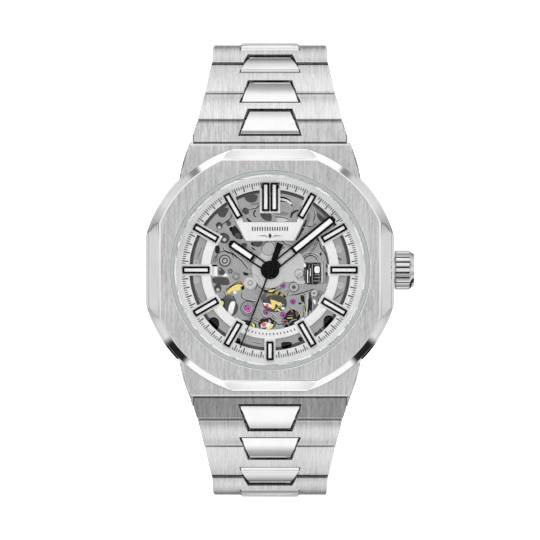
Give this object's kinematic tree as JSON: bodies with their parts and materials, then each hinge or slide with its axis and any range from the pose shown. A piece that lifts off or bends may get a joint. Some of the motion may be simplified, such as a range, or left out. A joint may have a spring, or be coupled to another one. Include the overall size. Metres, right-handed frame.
{
  "type": "skeleton wristwatch",
  "caption": "Skeleton wristwatch with a rounded octagonal bezel, pierced dial, visible geared movement, fluted crown and a closed steel link bracelet with a folding clasp.",
  "frame": {"origin": "centre of the case back's flat outer face, on the axis of the hands", "axes": "+Z towards 12 o'clock, +X towards the crown at 3 o'clock, +Y out of the case back towards the wrist; the dial faces -Y"},
  "size_m": [0.0433, 0.045, 0.0754],
  "materials": {
    "brushed_steel": "brushed",
    "polished_steel": "polished",
    "crystal_glass": "clear polished",
    "gasket_grey": "matt",
    "dial_silver": "satin",
    "marker_black": "gloss with pale filling",
    "hand_black": "gloss with pale filling",
    "movement_steel": "fine matt",
    "brass_gilt": "satin",
    "ruby": "polished",
    "blued_grey_spring": "polished",
    "rubber_black": "matt"
  },
  "bodies": {
    "case": {"case_middle": "brushed_steel", "bezel": "brushed_steel", "crystal": "crystal_glass", "crystal_gasket": "gasket_grey", "rehaut": "polished_steel", "dial": "dial_silver", "hour_markers": "marker_black", "case_back": "brushed_steel", "case_back_crystal": "crystal_glass", "crown_tube": "polished_steel", "movement_ring": "movement_steel", "main_plate": "movement_steel", "motion_cover": "movement_steel", "train_bridge": "movement_steel", "balance_cock": "movement_steel", "jewels": "ruby", "movement_screws": "polished_steel", "keyless_works": "movement_steel", "rotor_bearing": "movement_steel", "upper_end_link": "brushed_steel"},
    "crown_slide": {"crown_seal": "rubber_black"},
    "crown": {"crown": "polished_steel", "winding_stem": "polished_steel"},
    "rotor": {"rotor": "movement_steel"},
    "seconds": {"seconds_hand": "hand_black", "seconds_pinion": "polished_steel"},
    "minute": {"minute_hand": "hand_black", "centre_wheel": "brass_gilt"},
    "hour": {"hour_hand": "hand_black", "hour_wheel": "brass_gilt"},
    "minute_wheel": {"minute_wheel": "brass_gilt"},
    "third_wheel": {"third_wheel": "brass_gilt"},
    "fourth_wheel": {"fourth_wheel": "brass_gilt"},
    "escape_wheel": {"escape_wheel": "polished_steel"},
    "barrel": {"barrel": "brass_gilt"},
    "pallet_fork": {"pallet_fork": "polished_steel"},
    "balance": {"balance_wheel": "brass_gilt", "hairspring": "blued_grey_spring"},
    "upper_link_1": {"upper_link_1": "brushed_steel"},
    "upper_link_2": {"upper_link_2": "brushed_steel"},
    "upper_link_3": {"upper_link_3": "brushed_steel"},
    "upper_link_4": {"upper_link_4": "brushed_steel"},
    "upper_link_5": {"upper_link_5": "brushed_steel"},
    "upper_link_6": {"upper_link_6": "brushed_steel"},
    "upper_link_7": {"upper_link_7": "brushed_steel"},
    "upper_link_8": {"upper_link_8": "brushed_steel"},
    "lower_link_1": {"lower_link_1": "brushed_steel"},
    "lower_link_2": {"lower_link_2": "brushed_steel"},
    "lower_link_3": {"lower_link_3": "brushed_steel"},
    "lower_link_4": {"lower_link_4": "brushed_steel"},
    "lower_link_5": {"lower_link_5": "brushed_steel"},
    "lower_link_6": {"lower_link_6": "brushed_steel"},
    "lower_link_7": {"lower_link_7": "brushed_steel"},
    "lower_link_8": {"lower_link_8": "brushed_steel"},
    "clasp_blade_b": {"clasp_blade_b": "polished_steel"},
    "clasp_blade_a": {"clasp_blade_a": "polished_steel"},
    "clasp_cover": {"clasp_cover": "brushed_steel"},
    "push_button_right": {"push_button_right": "polished_steel"},
    "push_button_left": {"push_button_left": "polished_steel"},
    "lower_end_link": {"lower_end_link": "brushed_steel"}
  },
  "joints": [
    {"name": "crown_pull", "type": "slide", "parent": "case", "child": "crown_slide", "axis": [1, 0, 0], "range_m": [0, 0.001]},
    {"name": "crown_turn", "type": "hinge", "parent": "crown_slide", "child": "crown", "pos_m": [0.0217, -0.0046, 0], "axis": [1, 0, 0], "continuous": true},
    {"name": "rotor_turn", "type": "hinge", "parent": "case", "child": "rotor", "pos_m": [0, -0.0021, 0], "axis": [0, 1, 0], "continuous": true},
    {"name": "seconds_turn", "type": "hinge", "parent": "case", "child": "seconds", "pos_m": [0, -0.0046, 0], "axis": [0, 1, 0], "continuous": true},
    {"name": "minute_turn", "type": "hinge", "parent": "case", "child": "minute", "pos_m": [0, -0.0046, 0], "axis": [0, 1, 0], "continuous": true},
    {"name": "hour_turn", "type": "hinge", "parent": "case", "child": "hour", "pos_m": [0, -0.0046, 0], "axis": [0, 1, 0], "continuous": true},
    {"name": "minute_wheel_turn", "type": "hinge", "parent": "case", "child": "minute_wheel", "pos_m": [0.0029, -0.0046, 0.00078], "axis": [0, 1, 0], "continuous": true},
    {"name": "third_wheel_turn", "type": "hinge", "parent": "case", "child": "third_wheel", "pos_m": [0.00202, -0.0046, -0.00242], "axis": [0, 1, 0], "continuous": true},
    {"name": "fourth_wheel_turn", "type": "hinge", "parent": "case", "child": "fourth_wheel", "pos_m": [0.00369, -0.0046, -0.00509], "axis": [0, 1, 0], "continuous": true},
    {"name": "escape_wheel_turn", "type": "hinge", "parent": "case", "child": "escape_wheel", "pos_m": [0.00207, -0.0046, -0.00715], "axis": [0, 1, 0], "continuous": true},
    {"name": "barrel_turn", "type": "hinge", "parent": "case", "child": "barrel", "pos_m": [-0.00275, -0.0046, 0.00589], "axis": [0, 1, 0], "continuous": true},
    {"name": "pallet_swing", "type": "hinge", "parent": "case", "child": "pallet_fork", "pos_m": [-0.00067, -0.005, -0.00673], "axis": [0, 1, 0], "range_deg": [-5, 5]},
    {"name": "balance_swing", "type": "hinge", "parent": "case", "child": "balance", "pos_m": [-0.00359, -0.004, -0.00614], "axis": [0, 1, 0], "range_deg": [-150, 150]},
    {"name": "upper_hinge_1", "type": "hinge", "parent": "case", "child": "upper_link_1", "pos_m": [0, -0.00605, 0.02265], "axis": [1, 0, 0], "range_deg": [0, 22]},
    {"name": "upper_hinge_2", "type": "hinge", "parent": "upper_link_1", "child": "upper_link_2", "pos_m": [0, -0.002, 0.02747], "axis": [1, 0, 0], "range_deg": [0, 5]},
    {"name": "upper_hinge_3", "type": "hinge", "parent": "upper_link_2", "child": "upper_link_3", "pos_m": [0, 0.00246, 0.0326], "axis": [1, 0, 0], "range_deg": [0, 25]},
    {"name": "upper_hinge_4", "type": "hinge", "parent": "upper_link_3", "child": "upper_link_4", "pos_m": [0, 0.00847, 0.0358], "axis": [1, 0, 0], "range_deg": [0, 28]},
    {"name": "upper_hinge_5", "type": "hinge", "parent": "upper_link_4", "child": "upper_link_5", "pos_m": [0, 0.01525, 0.03627], "axis": [1, 0, 0], "range_deg": [0, 26]},
    {"name": "upper_hinge_6", "type": "hinge", "parent": "upper_link_5", "child": "upper_link_6", "pos_m": [0, 0.02172, 0.03417], "axis": [1, 0, 0], "range_deg": [0, 24]},
    {"name": "upper_hinge_7", "type": "hinge", "parent": "upper_link_6", "child": "upper_link_7", "pos_m": [0, 0.02708, 0.02998], "axis": [1, 0, 0], "range_deg": [0, 22]},
    {"name": "upper_hinge_8", "type": "hinge", "parent": "upper_link_7", "child": "upper_link_8", "pos_m": [0, 0.03088, 0.02435], "axis": [1, 0, 0], "range_deg": [0, 21]},
    {"name": "upper_clasp_hinge", "type": "hinge", "parent": "upper_link_8", "child": "clasp_blade_b", "pos_m": [0, 0.03287, 0.01784], "axis": [1, 0, 0], "range_deg": [0, 21]},
    {"name": "clasp_unfold", "type": "hinge", "parent": "clasp_blade_b", "child": "clasp_blade_a", "pos_m": [0, 0.03244, -0.0143], "axis": [-1, 0, 0], "range_deg": [0, 176]},
    {"name": "cover_unfold", "type": "hinge", "parent": "clasp_blade_a", "child": "clasp_cover", "pos_m": [0, 0.03262, 0.0135], "axis": [-1, 0, 0], "range_deg": [-176, 0]},
    {"name": "button_right_press", "type": "slide", "parent": "clasp_cover", "child": "push_button_right", "axis": [-1, 0, 0], "range_m": [0, 0.00055], "stiffness_N_per_m": 400},
    {"name": "button_left_press", "type": "slide", "parent": "clasp_cover", "child": "push_button_left", "axis": [1, 0, 0], "range_m": [0, 0.00055], "stiffness_N_per_m": 400},
    {"name": "lower_clasp_hinge", "type": "hinge", "parent": "clasp_cover", "child": "lower_link_8", "pos_m": [0, 0.03287, -0.01784], "axis": [1, 0, 0], "range_deg": [0, 21]},
    {"name": "lower_hinge_8", "type": "hinge", "parent": "lower_link_8", "child": "lower_link_7", "pos_m": [0, 0.03088, -0.02435], "axis": [1, 0, 0], "range_deg": [0, 21]},
    {"name": "lower_hinge_7", "type": "hinge", "parent": "lower_link_7", "child": "lower_link_6", "pos_m": [0, 0.02708, -0.02998], "axis": [1, 0, 0], "range_deg": [0, 22]},
    {"name": "lower_hinge_6", "type": "hinge", "parent": "lower_link_6", "child": "lower_link_5", "pos_m": [0, 0.02172, -0.03417], "axis": [1, 0, 0], "range_deg": [0, 24]},
    {"name": "lower_hinge_5", "type": "hinge", "parent": "lower_link_5", "child": "lower_link_4", "pos_m": [0, 0.01525, -0.03627], "axis": [1, 0, 0], "range_deg": [0, 26]},
    {"name": "lower_hinge_4", "type": "hinge", "parent": "lower_link_4", "child": "lower_link_3", "pos_m": [0, 0.00847, -0.0358], "axis": [1, 0, 0], "range_deg": [0, 28]},
    {"name": "lower_hinge_3", "type": "hinge", "parent": "lower_link_3", "child": "lower_link_2", "pos_m": [0, 0.00246, -0.0326], "axis": [1, 0, 0], "range_deg": [0, 25]},
    {"name": "lower_hinge_2", "type": "hinge", "parent": "lower_link_2", "child": "lower_link_1", "pos_m": [0, -0.002, -0.02747], "axis": [1, 0, 0], "range_deg": [0, 5]},
    {"name": "lower_hinge_1", "type": "hinge", "parent": "lower_link_1", "child": "lower_end_link", "pos_m": [0, -0.00605, -0.02265], "axis": [1, 0, 0], "range_deg": [0, 22]}
  ],
  "couplings": [
    {"joint": "minute_turn", "follows": "seconds_turn", "ratio": 0.016667},
    {"joint": "hour_turn", "follows": "seconds_turn", "ratio": 0.0013889},
    {"joint": "minute_wheel_turn", "follows": "seconds_turn", "ratio": -0.0055556},
    {"joint": "third_wheel_turn", "follows": "seconds_turn", "ratio": -0.13333},
    {"joint": "fourth_wheel_turn", "follows": "seconds_turn", "ratio": 1},
    {"joint": "escape_wheel_turn", "follows": "seconds_turn", "ratio": -10},
    {"joint": "barrel_turn", "follows": "seconds_turn", "ratio": -0.0027778},
    {"joint": "cover_unfold", "follows": "clasp_unfold", "ratio": -1}
  ]
}
